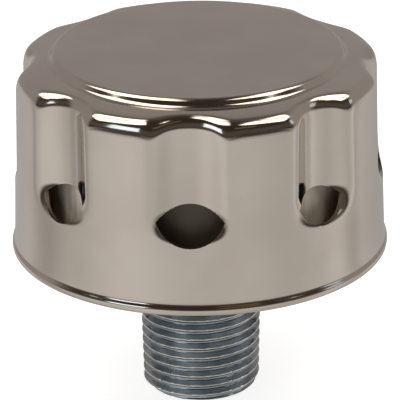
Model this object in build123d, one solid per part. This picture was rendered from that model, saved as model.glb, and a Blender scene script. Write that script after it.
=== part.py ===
from build123d import *
import os
from math import cos, pi, radians, sin

# Screw-in hydraulic filler breather: a fluted, plated sheet-steel cap crimped over a base pan,
# with a paper element inside and a taper-threaded pipe nipple below.
# Millimetres, +Z up, the nipple's axis is Z and its lower end stands at z = 0.

# --- Nipple: half-inch taper pipe thread ---
pipe_radius = 21.34 / 2
bore_radius = 15.8 / 2
thread_length = 18.8
thread_taper = 1 / 32            # loss of radius per mm of length
nipple_reach = 27.0              # from the nipple's end up to the cap's hem
end_chamfer = 1.1
collar_radius = 14.0
collar_height = 2.2
spigot_radius = 9.2

# --- Cap, drawn from sheet ---
sheet = 0.8
hem_radius = 33.25
bead_step = 0.4                  # the hem stands out from the wall by this
wall_lean = 0.55                 # and the wall leans in by this on its way up
cap_height = 36.4
hem_width = 4.2
hem_roll = 0.5
bead_height = 1.5
bead_slope = 0.6
shelf_width = 6.4                # from the wall's top to the disc's foot
disc_rise = 1.9
disc_draft = 1.0
disc_edge = 1.2
disc_foot = 0.8
shoulder_radius = 2.4

# --- Flutes and the vents at their feet ---
flute_count = 8
flute_radius = 11.5
flute_depth = 2.9                # from the wall's upper radius
flute_straight = 18.5            # height above the hem where a flute starts to run out
flute_run_out = 10.0             # height that the run-out takes
flute_corner = 1.5
vent_half_width = 5.75
vent_middle = 16.6               # height of the vent's two corners above the hem
vent_drop = 4.5
vent_rise = 2.6
vent_corner = 0.7

# --- Base pan and its seals ---
pan_sheet = 0.8
seal_thickness = 0.5
pan_rise = 2.3
pan_step = 2.0
fit_gap = 0.1

# --- Baffle ring behind the vents ---
ring_sheet = 0.6
ring_gap = 0.3
ring_foot = 2.6
ring_height = 22.0

# --- Fixing of the nipple ---
gasket_thickness = 0.6
washer_thickness = 0.8
washer_radius = 13.2
washer_teeth = 12
nut_across_flats = 23.0
nut_height = 3.6
spigot_stand = 3.0               # spigot left above the locknut
baffle_sheet = 0.7
baffle_height = 10.5
baffle_windows = 4
window_width = 6.0
window_height = 4.5

# --- Filter element ---
core_radius = 15.6
core_sheet = 0.6
core_rows = 3
core_columns = 12
core_hole_radius = 1.6
pleat_count = 44
pleat_margin = 0.6               # from the folds to the end caps' rims
paper = 0.55
media_height = 16.0
potting = 1.0
end_cap_sheet = 0.5
element_gap = 1.4                # round the element, inside the baffle ring
end_cap_rim = 2.2
lower_seal_thickness = 1.5
lower_seal_width = 5.0

# --- Spring between the element and the cap ---
wire_radius = 0.7
spring_radius = 8.6
spring_turns = 2.6
seat_sheet = 0.6
seat_radius = 12.5
seat_lip = 1.2

# --- Levels that follow from the sizes above ---
cap_base = nipple_reach
cap_top = cap_base + cap_height
ledge = cap_top - disc_rise
seal_level = cap_base + sheet
flange_level = seal_level + seal_thickness
flange_top = flange_level + pan_sheet
floor_top = flange_top + pan_rise
floor_bottom = floor_top - pan_sheet
wall_low_radius = hem_radius - bead_step
wall_high_radius = wall_low_radius - wall_lean
disc_radius = wall_high_radius - shelf_width
flute_floor = wall_high_radius - flute_depth
ring_outer = flute_floor - sheet - ring_gap
end_cap_radius = ring_outer - ring_sheet - element_gap
pleat_outer_radius = end_cap_radius - end_cap_sheet - pleat_margin
washer_top = floor_top + washer_thickness
nut_top = washer_top + nut_height
spigot_top = nut_top + spigot_stand
baffle_top = nut_top + baffle_height
element_base = floor_top + lower_seal_thickness
media_base = element_base + end_cap_sheet + potting
media_top = media_base + media_height
element_top = media_top + potting + end_cap_sheet
cap_ceiling = cap_top - sheet
seat_bottom = cap_ceiling - seat_sheet


def turned(*outline):
    """Solid of revolution about Z from (radius, height) corners."""
    face = Plane.XZ * make_face(Polyline(*outline, close=True))
    return revolve(face, Axis.Z)


def ring(inner, outer, low, high):
    """Flat ring between two radii and two heights."""
    body = Pos(0, 0, low) * Cylinder(outer, high - low, align=(Align.CENTER, Align.CENTER, Align.MIN))
    hole = Pos(0, 0, low) * Cylinder(inner, high - low, align=(Align.CENTER, Align.CENTER, Align.MIN))
    return body - hole


def at_flutes(tool):
    """The tool repeated at each flute's angle."""
    return [Rot(0, 0, n * 360 / flute_count) * tool for n in range(flute_count)]


def flute_tool(inset):
    """Upright cutter for one flute at +X, whose lower end curves away out of the wall."""
    radius = flute_radius + inset
    axis = flute_floor + flute_radius
    run_out = axis - hem_radius - sheet
    arc_radius = ((flute_radius - run_out) ** 2 + flute_run_out**2) / (2 * (flute_radius - run_out)) + inset
    top = cap_top + sheet
    straight = cap_base + flute_straight
    angle = radians(60)
    centre = (radius - arc_radius, straight)
    mid = (centre[0] + arc_radius * cos(angle / 2), centre[1] - arc_radius * sin(angle / 2))
    end = (centre[0] + arc_radius * cos(angle), centre[1] - arc_radius * sin(angle))
    side = Polyline((0, end[1]), (0, top), (radius, top), (radius, straight))
    face = make_face([*side.edges(), ThreePointArc((radius, straight), mid, end), Line(end, (0, end[1]))])
    return Pos(axis, 0, 0) * revolve(Plane.XZ * face, Axis.Z)


def fluted_body(inset):
    """The cap as a full body: its outer skin at 0, and the cavity inside it at one sheet."""
    low = cap_base + inset
    if inset:
        skirt = [(hem_radius - inset, low), (hem_radius - inset, flange_top)]
        skirt += [(wall_low_radius - inset, flange_top)]
    else:
        skirt = [(hem_radius, low), (hem_radius, low + bead_height)]
        skirt += [(wall_low_radius, low + bead_height + bead_slope)]
    shelf = ledge - inset
    crown = cap_top - inset
    rise = [(wall_high_radius - inset, shelf), (disc_radius - inset, shelf)]
    rise += [(disc_radius - disc_draft - inset, crown)]
    body = turned((0, low), *skirt, *rise, (0, crown))
    body = fillet(circles_at(body, crown, 0, disc_radius), disc_edge - inset / 2)
    body = fillet(circles_at(body, shelf, 0, disc_radius), disc_foot + inset / 2)
    body -= at_flutes(flute_tool(inset))
    corners = [e for e in body.edges() if cap_base + vent_drop < e.center().Z < shelf - shoulder_radius / 2]
    corners = [e for e in corners if e.geom_type == GeomType.BSPLINE]
    body = fillet(corners, flute_corner - inset / 2)
    # the shoulder runs round every lobe and flute
    shoulder = [e for e in body.edges() if abs(e.center().Z - shelf) < 0.01 and e.bounding_box().size.Z < 0.01]
    shoulder = [e for e in shoulder if radial(e @ 0.5) > disc_radius + disc_foot]
    return fillet(shoulder, shoulder_radius - inset)


def radial(point):
    return (point.X**2 + point.Y**2) ** 0.5


def circles_at(body, height, smallest, largest):
    """Whole level circles of a turned body at one height."""
    found = [e for e in body.edges().filter_by(GeomType.CIRCLE) if abs(e.center().Z - height) < 0.001]
    return [e for e in found if smallest < e.radius < largest + 0.001]


def vent_tool():
    """Eye-shaped cutter for the opening at the foot of the flute at +X."""
    tip = cap_base + vent_middle
    left = (-vent_half_width, tip)
    right = (vent_half_width, tip)
    lower = ThreePointArc(left, (0, tip - vent_drop), right)
    upper = ThreePointArc(right, (0, tip + vent_rise), left)
    face = make_face([lower, upper])
    face = fillet(face.vertices(), vent_corner)
    inner = ring_outer + ring_gap / 2
    return Pos(inner, 0, 0) * extrude(Plane.YZ * face, hem_radius + sheet - inner)


def make_cap_shell():
    cap = fluted_body(0) - fluted_body(sheet)
    mouth = hem_radius - hem_width
    cap -= Pos(0, 0, cap_base + sheet / 2) * Cylinder(mouth, 2 * sheet)
    cap -= at_flutes(vent_tool())
    cap = fillet(circles_at(cap, cap_base, mouth + 1, hem_radius), hem_roll)
    return cap


def make_base_pan():
    outer = hem_radius - sheet - fit_gap
    step = ring_outer - ring_sheet - fit_gap
    floor = step - pan_step
    hole = spigot_radius + fit_gap
    return turned((hole, floor_bottom), (floor, floor_bottom), (step, flange_level),
                  (outer, flange_level), (outer, flange_top), (step, flange_top),
                  (floor, floor_top), (hole, floor_top))


def make_rim_seal():
    return ring(hem_radius - hem_width, hem_radius - sheet - fit_gap, seal_level, flange_level)


def make_threaded_nipple():
    under = floor_bottom - gasket_thickness
    small = pipe_radius - thread_taper * thread_length
    nipple = turned((bore_radius, 0), (small - end_chamfer, 0), (small, end_chamfer), (pipe_radius, thread_length),
                    (pipe_radius, under - collar_height), (collar_radius, under - collar_height),
                    (collar_radius, under), (spigot_radius, under), (spigot_radius, spigot_top),
                    (bore_radius, spigot_top))
    return nipple


def make_nipple_gasket():
    return ring(spigot_radius + fit_gap, collar_radius, floor_bottom - gasket_thickness, floor_bottom)


def make_lock_washer():
    washer = ring(spigot_radius + fit_gap, washer_radius, floor_top, washer_top)
    notch = Pos(washer_radius, 0, floor_top) * Box(2.4, 1.4, 2 * washer_thickness)
    return washer - [Rot(0, 0, n * 360 / washer_teeth) * notch for n in range(washer_teeth)]


def make_locknut():
    sketch = RegularPolygon(nut_across_flats / 2, 6, major_radius=False) - Circle(spigot_radius)
    nut = extrude(Pos(0, 0, washer_top) * sketch, nut_height)
    bevel = turned((nut_across_flats / 2, nut_top), (nut_across_flats, nut_top),
                   (nut_across_flats, nut_top - nut_across_flats / 4))
    return nut - bevel


def make_splash_baffle():
    outer = spigot_radius + baffle_sheet
    cup = turned((spigot_radius, nut_top), (outer, nut_top), (outer, baffle_top), (0, baffle_top),
                 (0, baffle_top - baffle_sheet), (spigot_radius, baffle_top - baffle_sheet))
    middle = (spigot_top + baffle_top - baffle_sheet) / 2
    window = Pos(outer, 0, middle) * Box(outer, window_width, window_height)
    return cup - [Rot(0, 0, (n + 0.5) * 360 / baffle_windows) * window for n in range(baffle_windows)]


def make_labyrinth_ring():
    inner = ring_outer - ring_sheet
    return turned((inner, flange_top), (ring_outer + ring_foot, flange_top),
                  (ring_outer + ring_foot, flange_top + ring_sheet), (ring_outer, flange_top + ring_sheet),
                  (ring_outer, flange_top + ring_height), (inner, flange_top + ring_height))


def make_lower_seal():
    inner = core_radius
    return ring(inner, inner + lower_seal_width, floor_top, element_base)


def make_lower_endcap():
    inner = core_radius - core_sheet
    rim = end_cap_radius - end_cap_sheet
    dish = element_base + end_cap_sheet
    return turned((inner, element_base), (end_cap_radius, element_base),
                  (end_cap_radius, element_base + end_cap_rim), (rim, element_base + end_cap_rim),
                  (rim, dish), (inner, dish))


def make_upper_endcap():
    rim = end_cap_radius - end_cap_sheet
    dish = element_top - end_cap_sheet
    return turned((0, dish), (rim, dish), (rim, element_top - end_cap_rim),
                  (end_cap_radius, element_top - end_cap_rim), (end_cap_radius, element_top), (0, element_top))


def make_core_tube():
    low = element_base + end_cap_sheet
    high = element_top - end_cap_sheet
    tube = ring(core_radius - core_sheet, core_radius, low, high)
    hole = Pos(core_radius, 0, 0) * Rot(0, 90, 0) * Cylinder(core_hole_radius, 4 * core_sheet)
    pitch = media_height / core_rows
    holes = []
    for row in range(core_rows):
        for column in range(core_columns):
            turn = (column + 0.5 * (row % 2)) * 360 / core_columns
            holes.append(Rot(0, 0, turn) * Pos(0, 0, media_base + pitch * (row + 0.5)) * hole)
    return tube - holes


def make_pleated_media():
    """One strip of filter paper folded to and fro between the core and the element's outside."""
    inner = core_radius + fit_gap
    fold = pi / pleat_count
    lean = paper / 2
    outside = []
    inside = []
    for n in range(pleat_count):
        angle = 2 * fold * n
        outside.append(polar(pleat_outer_radius, angle))
        outside.append(polar(inner + paper * 1.6, angle + fold))
        inside.append(polar(pleat_outer_radius - paper * 1.6, angle))
        inside.append(polar(inner, angle + fold))
    sketch = make_face(Polyline(*outside, close=True)) - make_face(Polyline(*inside, close=True))
    return extrude(Pos(0, 0, media_base) * sketch, media_height)


def polar(radius, angle):
    return (radius * cos(angle), radius * sin(angle))


def make_potting(low):
    return ring(core_radius, end_cap_radius - end_cap_sheet, low, low + potting)


def make_spring_plate():
    """Shallow pressed cup that keeps the spring central under the cap's crown."""
    return turned((0, seat_bottom), (seat_radius - seat_sheet, seat_bottom),
                  (seat_radius - seat_sheet, seat_bottom - seat_lip), (seat_radius, seat_bottom - seat_lip),
                  (seat_radius, cap_ceiling), (0, cap_ceiling))


def make_coil_spring():
    low = element_top + wire_radius
    high = seat_bottom - wire_radius
    path = Helix(pitch=(high - low) / spring_turns, height=high - low, radius=spring_radius)
    wire = Plane(origin=path @ 0, z_dir=path % 0) * Circle(wire_radius)
    return Pos(0, 0, low) * sweep(wire, path)


pieces = {
    "cap_shell": make_cap_shell(),
    "base_pan": make_base_pan(),
    "rim_seal": make_rim_seal(),
    "threaded_nipple": make_threaded_nipple(),
    "nipple_gasket": make_nipple_gasket(),
    "lock_washer": make_lock_washer(),
    "nipple_locknut": make_locknut(),
    "splash_baffle": make_splash_baffle(),
    "labyrinth_ring": make_labyrinth_ring(),
    "lower_seal": make_lower_seal(),
    "lower_endcap": make_lower_endcap(),
    "lower_potting": make_potting(media_base - potting),
    "pleated_media": make_pleated_media(),
    "core_tube": make_core_tube(),
    "upper_potting": make_potting(media_top),
    "upper_endcap": make_upper_endcap(),
    "spring_plate": make_spring_plate(),
    "coil_spring": make_coil_spring(),
}
os.makedirs("parts", exist_ok=True)
for name, piece in pieces.items():
    export_step(piece, f"parts/{name}.step")
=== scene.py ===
import bpy
import math
import numpy as np
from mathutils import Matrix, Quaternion, Vector


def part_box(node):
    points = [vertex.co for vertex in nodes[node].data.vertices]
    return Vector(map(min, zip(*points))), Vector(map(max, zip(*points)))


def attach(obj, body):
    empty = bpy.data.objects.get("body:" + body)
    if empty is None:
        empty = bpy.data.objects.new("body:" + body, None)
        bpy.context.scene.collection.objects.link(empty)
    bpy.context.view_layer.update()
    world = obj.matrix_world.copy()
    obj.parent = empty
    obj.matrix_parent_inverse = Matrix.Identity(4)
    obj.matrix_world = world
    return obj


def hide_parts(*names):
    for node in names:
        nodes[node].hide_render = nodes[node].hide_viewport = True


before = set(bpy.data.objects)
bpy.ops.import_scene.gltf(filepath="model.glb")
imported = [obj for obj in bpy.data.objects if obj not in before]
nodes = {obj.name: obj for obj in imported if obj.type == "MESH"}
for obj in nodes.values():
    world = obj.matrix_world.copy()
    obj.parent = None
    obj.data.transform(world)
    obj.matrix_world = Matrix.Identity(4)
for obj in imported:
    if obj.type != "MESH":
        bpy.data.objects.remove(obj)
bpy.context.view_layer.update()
scene = bpy.context.scene
mm = 0.001
print("frame loaded")

# heights in millimetres, from the CAD's own boxes
capLow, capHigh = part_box("cap_shell")
hemHeight = capLow.z / mm
capHeight = (capHigh.z - capLow.z) / mm
nippleLow, nippleHigh = (corner.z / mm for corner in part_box("threaded_nipple"))
flutes = 8


# one output socket of a node, with the usual operators
class Sock:
    def __init__(self, tree, out=None):
        self.tree = tree
        self.out = out

    def node(self, kind, inputs=None, output=0, **settings):
        made = self.tree.nodes.new(kind)
        for key, value in settings.items():
            setattr(made, key, value)
        for key, value in (inputs or {}).items():
            if isinstance(value, Sock):
                self.tree.links.new(value.out, made.inputs[key])
            else:
                made.inputs[key].default_value = value
        return Sock(self.tree, made.outputs[output] if len(made.outputs) else None)

    def maths(self, operation, other=None):
        inputs = {0: self} if other is None else {0: self, 1: other}
        return self.node("ShaderNodeMath", inputs, operation=operation)

    def __add__(self, other): return self.maths("ADD", other)
    def __sub__(self, other): return self.maths("SUBTRACT", other)
    def __mul__(self, other): return self.maths("MULTIPLY", other)
    def __truediv__(self, other): return self.maths("DIVIDE", other)
    def __neg__(self): return self.maths("MULTIPLY", -1.0)
    def __abs__(self): return self.maths("ABSOLUTE")
    __radd__ = __add__
    __rmul__ = __mul__
    def __rsub__(self, other): return (-self) + other
    def __rtruediv__(self, other): return self.maths("POWER", -1.0) * other

    def step(self, low, high, first=0.0, last=1.0):             # smooth change from first to last
        return self.node("ShaderNodeMapRange", {0: self, 1: low, 2: high, 3: first, 4: last},
                         interpolation_type="SMOOTHSTEP")

    def mix(self, first, last):                                 # colours, with this value as the factor
        return self.node("ShaderNodeMix", {0: self, 6: first, 7: last}, output=2, data_type="RGBA")

    def tinted(self, color):                                    # a colour scaled by this value
        return self.node("ShaderNodeVectorMath", {0: color, 3: self}, operation="SCALE")

    def noise(self, scale, detail):
        return self.node("ShaderNodeTexNoise", {"Vector": self, "Scale": scale, "Detail": detail})

    def stretched(self, scale):
        return self.node("ShaderNodeMapping", {"Vector": self, "Scale": scale})

    def bump(self, strength, distance):
        return self.node("ShaderNodeBump", {"Height": self, "Strength": strength, "Distance": distance})

    def split(self):
        first = self.node("ShaderNodeSeparateXYZ", {0: self})
        return [Sock(self.tree, out) for out in first.out.node.outputs]


def srgb(r, g, b):
    def linear(c):
        c = c / 255
        return c / 12.92 if c <= 0.04045 else ((c + 0.055) / 1.055) ** 2.4
    return (linear(r), linear(g), linear(b), 1.0)


def newMaterial(name):
    material = bpy.data.materials.new(name)
    material.use_nodes = True
    return material, Sock(material.node_tree).node("ShaderNodeTexCoord", output="Object")


def finish(material, values):                                   # a plain number goes on the shader's own socket
    shader = material.node_tree.nodes["Principled BSDF"]
    for name, value in values.items():
        if isinstance(value, Sock):
            material.node_tree.links.new(value.out, shader.inputs[name])
        else:
            shader.inputs[name].default_value = value
    return material


def nickelPlate():
    look = dict(bright=srgb(200, 190, 178), dull=srgb(194, 183, 171), cloud=90.0, grain=2600.0,
                rough=0.095, roughSpread=0.03, bump=0.045, bumpDepth=0.02 * mm)
    material, place = newMaterial("nickelPlate")
    cloud = place.noise(look["cloud"], 3.0)
    return finish(material, {
        "Metallic": 1.0,
        "Base Color": cloud.step(0.3, 0.7).mix(look["bright"], look["dull"]),
        "Roughness": cloud * look["roughSpread"] + look["rough"],
        "Normal": place.noise(look["grain"], 2.0).bump(look["bump"], look["bumpDepth"])})


def zincPlate(name, crests=None):                               # crests: the thread whose tops are worn bright and carry a painted highlight
    look = dict(light=srgb(172, 179, 183), dark=srgb(138, 147, 153), wornAndHighlight=srgb(214, 204, 188), cloud=260.0,
                rings=(60.0, 60.0, 4000.0), rough=0.09, roughSpread=0.10, bump=0.2, bumpDepth=0.03 * mm)
    wearAndHighlight = dict(ragged=0.22 * mm, top=0.09 * mm, foot=0.25 * mm, ends=(20.5 * mm, 21.0 * mm), smoother=0.03)
    material, place = newMaterial(name)
    rings = place.stretched(look["rings"]).noise(1.0, 2.0)      # fine turning marks round the axis
    cloud = place.noise(look["cloud"], 4.0)
    color = cloud.step(0.3, 0.7).mix(look["light"], look["dark"])
    rough = rings * look["roughSpread"] + look["rough"]
    if crests:
        x, y, z = place.split()
        radius = (x * x + y * y).maths("SQRT")
        taper = (crests["big"] - crests["small"]) / crests["length"]
        crest = z.maths("MINIMUM", crests["length"] * mm) * taper + crests["small"] * mm
        # painted highlight with wear: a pale cream line along each crest, standing in for the light caught there
        wornAndHighlight = (crest - radius + cloud * wearAndHighlight["ragged"]).step(wearAndHighlight["top"], wearAndHighlight["foot"], 1.0, 0.0)
        wornAndHighlight = wornAndHighlight * z.step(*wearAndHighlight["ends"], 1.0, 0.0)
        color = wornAndHighlight.mix(color, look["wornAndHighlight"])
        rough = rough - wornAndHighlight * wearAndHighlight["smoother"]
    return finish(material, {"Metallic": 1.0, "Base Color": color, "Roughness": rough,
                             "Normal": rings.bump(look["bump"], look["bumpDepth"])})


def oiledSteelPaintedShade():                                               # bare metal with smears, and painted shade behind the front vent, darker towards the front
    look = dict(bare=srgb(236, 226, 210), smear=srgb(176, 164, 146), paintedShade=srgb(92, 80, 67), metal=0.15,
                rough=0.4, roughSpread=0.15, smears=(300.0, 300.0, 60.0), shadeFrom=12.0, shadeTo=27.0)
    material, place = newMaterial("oiledSteelPaintedShade")
    x, y, z = place.split()
    bearing = abs(x.maths("ARCTAN2", -y) * (180 / math.pi))     # degrees from the front
    smear = place.stretched(look["smears"]).noise(1.0, 3.0)
    bare = smear.step(0.35, 0.65).mix(look["bare"], look["smear"])
    return finish(material, {
        "Metallic": look["metal"],
        # painted shade: the ring turns dark towards the front, behind the front vent, and stays bare towards the
        # sides
        "Base Color": bearing.step(look["shadeFrom"], look["shadeTo"], 1.0, 0.0).mix(bare, look["paintedShade"]),
        "Roughness": smear * look["roughSpread"] + look["rough"]})


def cloudy(name, light, dark, rough, metal, scale):             # two tones and a slight unevenness
    look = dict(roughSpread=0.15, bump=0.15, bumpDepth=0.05 * mm)
    material, place = newMaterial(name)
    cloud = place.noise(scale, 3.0)
    return finish(material, {
        "Metallic": metal,
        "Base Color": cloud.step(0.3, 0.7).mix(light, dark),
        "Roughness": cloud * look["roughSpread"] + rough,
        "Normal": cloud.bump(look["bump"], look["bumpDepth"])})


nickel = nickelPlate()
zinc = zincPlate("zincPlate")
tin = cloudy("tinPlate", srgb(176, 168, 158), srgb(150, 142, 132), 0.2, 1.0, 300.0)
wire = cloudy("springWire", srgb(120, 120, 124), srgb(90, 90, 95), 0.3, 1.0, 500.0)
rubber = cloudy("sealRubber", srgb(34, 33, 32), srgb(24, 23, 23), 0.6, 0.0, 700.0)
felt = cloudy("feltSeal", srgb(186, 178, 164), srgb(160, 150, 136), 0.9, 0.0, 1500.0)
paper = cloudy("filterPaper", srgb(226, 208, 164), srgb(208, 188, 142), 0.85, 0.0, 900.0)
resin = cloudy("pottingResin", srgb(176, 150, 96), srgb(160, 134, 82), 0.5, 0.0, 400.0)
finishes = {
    "cap_shell": nickel, "threaded_nipple": zinc, "base_pan": zinc, "lock_washer": zinc, "nipple_locknut": zinc,
    "rim_seal": rubber, "nipple_gasket": rubber, "lower_seal": felt, "labyrinth_ring": oiledSteelPaintedShade(),
    "splash_baffle": tin, "lower_endcap": tin, "core_tube": tin, "upper_endcap": tin, "spring_plate": tin,
    "lower_potting": resin, "upper_potting": resin, "pleated_media": paper, "coil_spring": wire}


def smooth(mesh, sharpAngle):
    for face in mesh.polygons:
        face.use_smooth = True
    mesh.set_sharp_from_angle(angle=math.radians(sharpAngle))


for nodeName, material in finishes.items():
    mesh = nodes[nodeName].data
    mesh.materials.clear()
    mesh.materials.append(material)
    smooth(mesh, 35)
print("finishes on", len(finishes), "solids")


def makePiece(name, verts, faces, material, slot, replaced):
    mesh = bpy.data.meshes.new(name)
    mesh.from_pydata(verts, [], faces)
    mesh.validate()
    mesh.materials.append(material)
    piece = bpy.data.objects.new(name, mesh)
    scene.collection.objects.link(piece)
    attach(piece, "root")
    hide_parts(replaced)
    return piece


def around(angles, radius, height):                             # one ring of points, in metres
    return [(r * math.cos(a) * mm, r * math.sin(a) * mm, h * mm) for a, r, h in zip(angles, radius, height)]


def ringFaces(rings, count):                                    # quads between rings of count points
    return [(j * count + i, j * count + (i + 1) % count, (j + 1) * count + (i + 1) % count, (j + 1) * count + i)
            for j in range(rings - 1) for i in range(count)]


# the cap, in millimetres over the hem
cap = dict(sheet=0.8, hem=33.25, roll=0.8, mouth=29.05,         # hem radius, its rolled edge, the opening below
           bead=1.15, beadTop=2.1,                              # the bead's side and the foot of the wall
           wallLow=32.8, wallHigh=31.95, wallBow=0.75,
           flute=8.5, depth=2.7, corner=1.5,                    # flute radius, depth, rounding of its edges
           shoulder=2.8, across=0.82,                           # shoulder height, and its width as a share
           bulge=0.8, bulgeOut=0.5, bulgeWidth=2.6,             # fuller shoulder at the flutes' edges
           middleIn=0.7, middleDrop=0.15, middleWidth=7.0,      # tighter shoulder at the flutes' middles
           lean=0.15, ledge=2.95, ledgeLeast=0.5,               # ledge round the disc
           disc=25.5, rise=1.45, draft=0.85, discEdge=1.05, discFoot=1.05,
           ringsLow=8.0, ringsHigh=20.0,                        # closer rings between these heights
           around=45)                                           # points to each flute

# the vents: height of their tips over the hem, and the cutters' reach
vent = dict(middle=16.6, inner=28.42, outer=36.0, steps=14, flare=3.2, flareUp=0.8, margin=0.3)
frontVent = dict(half=5.85, drop=4.4, rise=2.6, shift=0.0)
otherVent = dict(half=5.2, drop=3.8, rise=2.4, shift=0.0)
vents = {5: dict(half=4.95, drop=3.8, rise=2.3, shift=-0.05),   # by flute, counted from the right-hand side
         6: frontVent,
         7: dict(half=5.2, drop=3.7, rise=2.4, shift=-0.3)}


def easeInOut(t):
    return t * t * (3 - 2 * t)


def flutedRadius(wall, inward, angles):                         # round wall with the flute taken out, edges rounded
    centre = cap["wallHigh"] - cap["depth"] + cap["flute"]
    corner = cap["corner"]
    low = np.full_like(angles, 5.0)
    high = np.full_like(angles, 40.0)
    for _ in range(40):                                         # halving, until the surface is met
        r = (low + high) / 2
        fromWall = r - wall
        inFlute = cap["flute"] - np.sqrt((r * np.cos(angles) - centre) ** 2 + (r * np.sin(angles)) ** 2)
        blend = np.maximum(corner - np.abs(fromWall - inFlute), 0)
        outside = np.maximum(fromWall, inFlute) + blend * blend / (4 * corner) + inward > 0
        high = np.where(outside, r, high)
        low = np.where(outside, low, r)
    return (low + high) / 2


def runOut(side):                                               # where the flute ends, inside the vent's opening
    fall = np.clip(1 - (side / frontVent["half"]) ** 2, 0, 1)
    spread = vent["flare"] * (1 - fall)
    low = vent["middle"] - frontVent["drop"] * fall - spread + vent["margin"]
    high = vent["middle"] + frontVent["rise"] * fall + spread * vent["flareUp"] - vent["margin"]
    return low, high


def discProfile(foot, low, high, footRound, edgeRound, steps):  # hollow foot, straight side, round edge
    slope = math.atan2(cap["draft"], cap["rise"])
    turn = math.pi / 2 - slope
    path = [(foot - footRound * math.sin(t), low + footRound * (1 - math.cos(t)))
            for t in np.linspace(0, turn, steps)]
    sideR, sideZ = path[-1]
    edgeZ = high - edgeRound * (1 - math.cos(turn))
    edgeR = sideR - max(edgeZ - sideZ, 0.0) * math.tan(slope)
    path += [(edgeR - edgeRound * (math.sin(turn) - math.sin(t)), high - edgeRound * (1 - math.cos(t)))
             for t in np.linspace(turn, 0, steps)]
    return path


def capRings(inset):                                            # rings of one skin, from the hem to the middle
    c = cap
    outside = inset == 0
    count = flutes * c["around"]
    angles = np.arange(count) * 2 * math.pi / count
    sector = 2 * math.pi / flutes
    local = (angles + sector / 2) % sector - sector / 2         # bearing from the nearest flute's middle
    rings = []

    def level(radius, height):
        rings.append((np.full(count, float(radius)), height))

    foot = capHeight - c["rise"] - inset                        # where the disc rises
    footR = c["disc"] - inset + c["discFoot"]
    ledge = foot - c["lean"] * c["ledge"]
    crown = capHeight - inset
    shoulder = c["shoulder"] - inset
    wallTop = ledge - shoulder
    edgeAngle = math.asin((frontVent["half"] + c["bulgeOut"]) / c["wallHigh"])
    middle = np.exp(-(local / math.radians(c["middleWidth"])) ** 4)
    deep = c["bulge"] * np.exp(-((np.abs(local) - edgeAngle) / math.radians(c["bulgeWidth"])) ** 2)
    deep = deep - c["middleDrop"] * middle
    inward = shoulder * c["across"] - c["middleIn"] * middle

    if outside:                                                 # rolled edge, then the bead
        for t in np.linspace(0, math.pi / 2, 5):
            level(c["hem"] - c["roll"] + c["roll"] * math.sin(t), c["roll"] * (1 - math.cos(t)))
        level(c["hem"], c["bead"])
        for t in np.linspace(0, 1, 7)[1:]:
            level(c["hem"] + (c["wallLow"] - c["hem"]) * easeInOut(t), c["bead"] + t * (c["beadTop"] - c["bead"]))
    else:
        level(c["hem"] - inset, inset)
        level(c["hem"] - inset, c["beadTop"])
        level(c["wallLow"] - inset, c["beadTop"])

    low, mid, high = (6, 34, 12) if outside else (3, 14, 4)     # rings below, across and above the vents
    start = c["beadTop"]
    heights = np.concatenate([np.linspace(start, c["ringsLow"], low)[1:],
                              np.linspace(c["ringsLow"], c["ringsHigh"], mid)[1:],
                              np.linspace(c["ringsHigh"], wallTop, high)[1:]])
    for z in heights:
        along = (z - start) / (ledge - start)
        wall = c["wallLow"] + (c["wallHigh"] - c["wallLow"]) * along ** c["wallBow"]
        fluted = flutedRadius(wall, inset, local)
        ventLow, ventHigh = runOut(fluted * np.sin(local))
        share = easeInOut(np.clip((z - ventLow) / (ventHigh - ventLow), 0, 1))
        sink = np.clip((z - c["ringsHigh"]) / (wallTop - c["ringsHigh"]), 0, 1)
        rings.append((wall - inset + (fluted - wall + inset) * share, z - deep * sink))

    least = footR + c["ledgeLeast"]                             # the ledge never closes up
    flat = flutedRadius(c["wallHigh"], inset + inward, local)
    ledgeEdge = foot - c["lean"] * (np.maximum(flat, least) - footR)
    for t in np.linspace(0, math.pi / 2 - math.atan(c["lean"]), 14 if outside else 5)[1:]:
        r = flutedRadius(c["wallHigh"], inset + inward * (1 - math.cos(t)), local)
        blend = np.maximum(1.0 - np.abs(r - least), 0)
        rings.append((np.maximum(r, least) + blend * blend / 4, ledgeEdge - (shoulder + deep) * (1 - math.sin(t))))
    edgeR, edgeZ = rings[-1]
    for t in np.linspace(0, 1, 4 if outside else 2)[1:]:
        rings.append((edgeR + (footR - edgeR) * t, edgeZ + (foot - edgeZ) * t))

    path = discProfile(footR, foot, crown, c["discFoot"], c["discEdge"], 9 if outside else 3)
    for r, z in path[1:]:
        level(r, z)
    for share in (0.75, 0.5, 0.25):
        level(path[-1][0] * share, crown)
    level(0.6, crown)
    return angles, rings


def capMesh():
    angles, outer = capRings(0.0)
    inner = capRings(cap["sheet"])[1]
    count = len(angles)
    mouth = np.full(count, cap["mouth"])
    rings = outer[::-1] + [(mouth, 0.0), (mouth, cap["sheet"])] + inner
    verts = []
    for radius, height in rings:
        verts += around(angles, radius, hemHeight + np.broadcast_to(height, (count,)))
    faces = ringFaces(len(rings), count)
    top, under = len(verts), len(verts) + 1                     # middles of the two skins
    verts += [(0, 0, (hemHeight + float(rings[end][1])) * mm) for end in (0, -1)]
    last = (len(rings) - 1) * count
    for i in range(count):
        k = (i + 1) % count
        faces += [(k, i, top), (last + i, last + k, under)]
    return verts, [face[::-1] for face in faces]


def arcHeight(side, half, height):                              # round arc over a chord of twice half
    radius = (half ** 2 + height ** 2) / (2 * height)
    return math.sqrt(max(radius ** 2 - side ** 2, 0.0)) - (radius - height)


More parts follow.
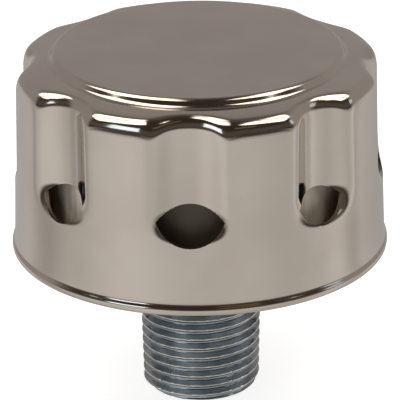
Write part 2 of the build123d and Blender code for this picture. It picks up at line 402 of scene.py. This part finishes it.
def ventCutter():                                               # eight eye-shaped prisms in one mesh
    verts, faces = [], []
    steps = vent["steps"]
    for flute in range(flutes):
        v = vents.get(flute, otherVent)
        a = flute * 2 * math.pi / flutes
        sides = [-v["half"] + 2 * v["half"] * i / steps for i in range(steps + 1)]
        outline = [(s + v["shift"], vent["middle"] - arcHeight(s, v["half"], v["drop"])) for s in sides]
        outline += [(s + v["shift"], vent["middle"] + arcHeight(s, v["half"], v["rise"])) for s in sides[-2:0:-1]]
        base, count = len(verts), len(outline)
        for reach in (vent["inner"], vent["outer"]):
            verts += [((reach * math.cos(a) - s * math.sin(a)) * mm, (reach * math.sin(a) + s * math.cos(a)) * mm,
                       (hemHeight + z) * mm) for s, z in outline]
        faces.append(tuple(base + i for i in reversed(range(count))))
        faces.append(tuple(base + count + i for i in range(count)))
        faces += [tuple(base + i for i in face) for face in ringFaces(2, count)]
    mesh = bpy.data.meshes.new("ventCutter")
    mesh.from_pydata(verts, [], [tuple(face) for face in faces])
    cutter = bpy.data.objects.new("ventCutter", mesh)
    scene.collection.objects.link(cutter)
    return cutter


def makeCap():
    piece = makePiece("cap_plate", *capMesh(), nickel, "plated_cap", "cap_shell")
    cutter = ventCutter()
    cut = piece.modifiers.new("vents", "BOOLEAN")
    cut.operation = "DIFFERENCE"
    cut.solver = "EXACT"
    cut.object = cutter
    graph = bpy.context.evaluated_depsgraph_get()
    graph.update()
    pierced = bpy.data.meshes.new_from_object(piece.evaluated_get(graph))
    piece.modifiers.clear()
    piece.data = pierced
    bpy.data.objects.remove(cutter)
    smooth(pierced, 40)
    print("cap:", len(pierced.polygons), "faces")


makeCap()


# the nipple, in millimetres over its free end
thread = dict(pitch=1.814, small=10.36, big=10.75, length=18.8, # taper from small to big radius over the length
              depth=1.0, flat=0.11, rootRound=1.15, chamfer=0.85,
              fadeEnd=19.8, fade=3.0,                           # the last turns fade into the plain shank
              bore=7.9, collar=14.0, collarLow=27.8, collarHigh=30.0, neck=9.2,
              around=144, perTurn=24)


def makeNipple():
    t = thread
    count = t["around"]
    angles = np.arange(count) * 2 * math.pi / count
    rings = [(np.full(count, t["bore"]), 0.0)]
    for z in np.arange(0, t["length"] + 1.5 * t["pitch"], t["pitch"] / t["perTurn"]):
        crest = t["small"] + (t["big"] - t["small"]) * min(z / t["length"], 1.0)
        phase = (z / t["pitch"] - angles / (2 * math.pi)) % 1.0
        dip = 1 - np.abs(2 * phase - 1)                         # 0 on the crest, 1 in the root
        dip = np.clip((dip - t["flat"]) / (1 - 2 * t["flat"]), 0, 1)
        dip = np.sin(dip * math.pi / 2) ** t["rootRound"]
        fade = np.clip((t["fadeEnd"] - z) / t["fade"], 0, 1)
        rings.append((np.minimum(crest - t["depth"] * dip * fade, t["small"] - t["chamfer"] + z), z))
    for radius, z in ((t["big"], t["collarLow"]), (t["collar"], t["collarLow"]), (t["collar"], t["collarHigh"]),
                      (t["neck"], t["collarHigh"]), (t["neck"], nippleHigh), (t["bore"], nippleHigh)):
        rings.append((np.full(count, radius), z))
    verts = []
    for radius, z in rings:
        verts += around(angles, radius, np.full(count, nippleLow + z))
    faces = ringFaces(len(rings), count)
    last = (len(rings) - 1) * count
    faces += [(last + i, last + (i + 1) % count, (i + 1) % count, i) for i in range(count)]     # the bore's wall
    piece = makePiece("nipple_thread", verts, faces, zincPlate("zincThread", thread), "zinc_steel",
                      "threaded_nipple")
    smooth(piece.data, 28)
    print("nipple:", len(piece.data.polygons), "faces")


makeNipple()


def makeCamera():
    shot = dict(elevation=22.6, turn=2.9, roll=-0.7, far=0.6, aimSide=0.11 * mm, aimUp=7.67 * mm, lens=305.07,
                sensor=36, nearest=0.05, farthest=20)
    rise, turn = math.radians(shot["elevation"]), math.radians(shot["turn"])
    back = Vector((math.sin(turn) * math.cos(rise), -math.cos(turn) * math.cos(rise), math.sin(rise)))
    side = Vector((math.cos(turn), math.sin(turn), 0))
    data = bpy.data.cameras.new("camera")
    data.lens = shot["lens"]
    data.sensor_width = shot["sensor"]
    data.clip_start = shot["nearest"]
    data.clip_end = shot["farthest"]
    camera = bpy.data.objects.new("camera", data)
    scene.collection.objects.link(camera)
    camera.location = Vector((0, 0, hemHeight * mm + shot["aimUp"])) + back * shot["far"] + side * shot["aimSide"]
    camera.rotation_mode = "QUATERNION"
    level = (-back).to_track_quat("-Z", "Y")
    camera.rotation_quaternion = level @ Quaternion((0, 0, 1), math.radians(shot["roll"]))
    scene.camera = camera


def lightPatch(u, v, midU, halfU, midV, halfV):                 # a rectangle with soft edges
    across = abs(u - midU).step(halfU * 0.88, halfU * 1.12, 1.0, 0.0)
    along = abs(v - midV).step(halfV * 0.8, halfV * 1.2, 1.0, 0.0)
    return across * along


def makeWorld():                                                # the room, laid out by direction
    room = dict(dark=(0.045, 0.035, 0.027, 1), darkLow=(0.11, 0.094, 0.08, 1),      # the camera's side
                backdrop=(1.0, 0.94, 0.936), boxLight=(3.5, 3.3, 2.95, 1), windowLight=(1.7, 2.0, 2.3, 1),
                sideLight=(0.80, 0.90, 1.0, 1), strip=(0.22, 0.17, 0.11, 1))
    boxes = ((-0.80, 0.66, -0.33, 0.23), (0.84, 0.46, -0.33, 0.23),                 # on a ceiling one unit up
             (-0.80, 0.66, 0.16, 0.17), (0.84, 0.46, 0.16, 0.17))
    window = (-0.42, 0.12, 0.19, 0.10)                          # bearing and rise in hundreds of degrees
    sideWindow = (0.90, 0.07, 0.16, 0.08)
    strip = (0.28, 0.14, 0.37, 0.03)
    tableTones = ((-42, 36, 1.16), (-106, 26, 0.68), (-82, 20, 0.93), (58, 32, 0.88), (95, 12, 1.12),
                  (112, 12, 0.82), (-180, 76, 0.58), (180, 78, 0.55))               # bearing, half width, gain

    world = bpy.data.worlds.new("studio")
    scene.world = world
    world.use_nodes = True
    world.node_tree.nodes.clear()
    start = Sock(world.node_tree)
    x, y, z = start.node("ShaderNodeTexCoord", output="Generated").split()
    turn = x.maths("ARCTAN2", -y) * (180 / math.pi)             # bearing from the front, right is positive
    rise = z.maths("ARCSINE") * (180 / math.pi)
    table = z.step(-0.9, -0.1, 0.67, 0.75)
    for bearing, half, gain in tableTones:
        table = table * abs(turn - bearing).step(0.0, half, gain, 1.0)
    behind = y.step(-0.15, 0.2)
    overTable = z.step(-0.22, -0.02)
    low = rise.step(-2.0, 4.0) * rise.step(14.0, 30.0, 1.0, 0.0)
    front = low.mix(room["dark"], room["darkLow"])
    walls = behind.mix(front, z.step(0.50, 1.04, 0.386, 0.09).tinted(room["backdrop"]))
    ceiling = z.maths("MAXIMUM", 0.02)
    lit = sum(lightPatch(x / ceiling, y / ceiling, *box) for box in boxes) * overTable
    glow = overTable.mix(table.tinted((1.0, 1.0, 1.0)), walls)
    glow = lit.maths("MINIMUM", 1.0).mix(glow, room["boxLight"])
    for patch, light in ((window, "windowLight"), (sideWindow, "sideLight"), (strip, "strip")):
        glow = lightPatch(turn / 100, rise / 100, *patch).mix(glow, room[light])
    seen = start.node("ShaderNodeLightPath", output="Is Camera Ray")
    mirrored = start.node("ShaderNodeBackground", {0: glow})
    white = start.node("ShaderNodeBackground", {0: (1, 1, 1, 1)})
    both = start.node("ShaderNodeMixShader", {0: seen, 1: mirrored, 2: white})
    start.node("ShaderNodeOutputWorld", {0: both})


def makeFloor():                                                # pale, with a faint shadow; reflections pass through
    floor = dict(half=6.0, gap=0.4 * mm, white=0.78, albedo=0.55)
    half, z = floor["half"], -floor["gap"]
    mesh = bpy.data.meshes.new("floor")
    mesh.from_pydata([(-half, -half, z), (half, -half, z), (half, half, z), (-half, half, z)], [], [(0, 1, 2, 3)])
    piece = bpy.data.objects.new("floor", mesh)
    scene.collection.objects.link(piece)
    material = bpy.data.materials.new("paleFloor")
    material.use_nodes = True
    material.node_tree.nodes.clear()
    start = Sock(material.node_tree)
    fromAbove = 1 - start.node("ShaderNodeNewGeometry", output="Backfacing")
    seen = start.node("ShaderNodeLightPath", output="Is Camera Ray") * fromAbove
    glow = start.node("ShaderNodeEmission", {1: floor["white"]})
    matt = start.node("ShaderNodeBsdfDiffuse", {0: (floor["albedo"],) * 3 + (1,)})
    pale = start.node("ShaderNodeAddShader", {0: glow, 1: matt})
    clear = start.node("ShaderNodeBsdfTransparent")
    start.node("ShaderNodeOutputMaterial", {0: start.node("ShaderNodeMixShader", {0: seen, 1: clear, 2: pale})})
    mesh.materials.append(material)


makeCamera()
makeWorld()
makeFloor()
scene.view_settings.view_transform = "Standard"
print("camera, room and floor set")
